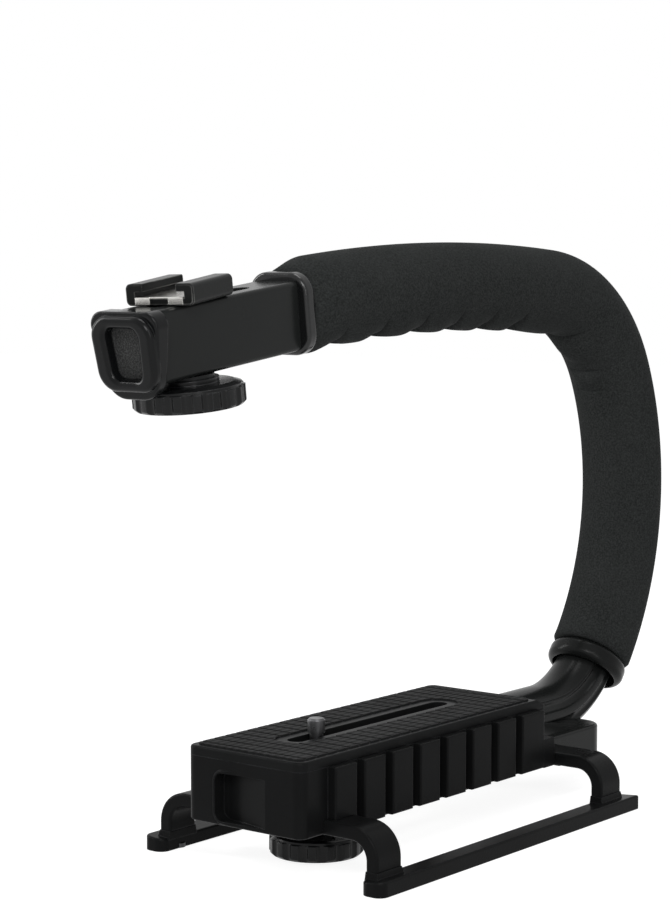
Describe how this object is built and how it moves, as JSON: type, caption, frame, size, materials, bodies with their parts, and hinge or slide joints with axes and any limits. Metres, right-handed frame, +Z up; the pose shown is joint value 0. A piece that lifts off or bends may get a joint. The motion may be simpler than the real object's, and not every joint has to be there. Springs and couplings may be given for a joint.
{
  "type": "camera stabilizer grip",
  "caption": "C-shaped camera stabilizer grip with a foam arch, a ribbed platform on skids, a captive camera screw and a sliding accessory shoe.",
  "frame": {"origin": "on the surface that the runners stand on, under the middle of the whole grip", "axes": "X runs from the lens end (-X) to the arch (+X), Y across to the left side seen from behind the lens end, Z up"},
  "size_m": [0.3234, 0.1084, 0.2186],
  "materials": {
    "abs": "fine moulded texture, low sheen",
    "abs_gloss": "smooth moulded, soft gloss",
    "deck_abs": "fine moulded texture, slightly lighter",
    "pad_rubber": "ribbed, matte",
    "foam": "fine open-cell foam, matte",
    "runner_abs": "fine moulded texture",
    "knob_abs": "smooth moulded, worn edges",
    "spring_steel": "bright, fine drawing lines",
    "zinc_steel": "zinc plated",
    "black_steel": "black oxide",
    "tube_aluminium": "mill finish",
    "brass": "turned",
    "nylon": "dark nylon, slightly waxy"
  },
  "bodies": {
    "frame": {"base_shell": "abs", "deck_plate": "deck_abs", "deck_pad": "pad_rubber", "deck_screws": "black_steel", "front_leg_bracket": "abs_gloss", "rear_leg_bracket": "abs_gloss", "bracket_screws": "black_steel", "left_runner": "runner_abs", "right_runner": "runner_abs", "runner_screws": "black_steel", "tail_screws": "black_steel", "tail_block": "abs", "neck": "abs_gloss", "lower_flange": "abs_gloss", "core_tube": "tube_aluminium", "foam_grip": "foam", "upper_collar": "abs_gloss", "arm_plug": "abs", "upper_arm": "abs", "arm_screws": "black_steel", "arm_end_cap": "abs_gloss"},
    "camera_slide": {"screw_carrier": "nylon"},
    "camera_screw": {"camera_screw": "zinc_steel", "screw_retaining_ring": "zinc_steel", "camera_knob": "knob_abs", "camera_knob_washer": "nylon"},
    "shoe_slide": {"shoe_knob_washer": "nylon"},
    "shoe": {"shoe_body": "knob_abs", "shoe_spring_plate": "spring_steel", "shoe_bolt": "black_steel"},
    "shoe_knob": {"upper_knob": "knob_abs", "upper_knob_insert": "brass"}
  },
  "joints": [
    {"name": "camera_slide", "type": "slide", "parent": "frame", "child": "camera_slide", "axis": [1, 0, 0], "range_m": [-0.006, 0.066]},
    {"name": "camera_screw_turn", "type": "hinge", "parent": "camera_slide", "child": "camera_screw", "pos_m": [-0.0606, 0, 0.0084], "axis": [0, 0, 1], "continuous": true},
    {"name": "shoe_slide", "type": "slide", "parent": "frame", "child": "shoe_slide", "axis": [0.9925, 0, 0.1219], "range_m": [-0.003, 0.028]},
    {"name": "shoe_turn", "type": "hinge", "parent": "shoe_slide", "child": "shoe", "pos_m": [-0.12985, 0, 0.18721], "axis": [-0.1219, 0, 0.9925], "continuous": true},
    {"name": "shoe_knob_turn", "type": "hinge", "parent": "shoe", "child": "shoe_knob", "pos_m": [-0.12985, 0, 0.18721], "axis": [-0.1219, 0, 0.9925], "continuous": true}
  ]
}
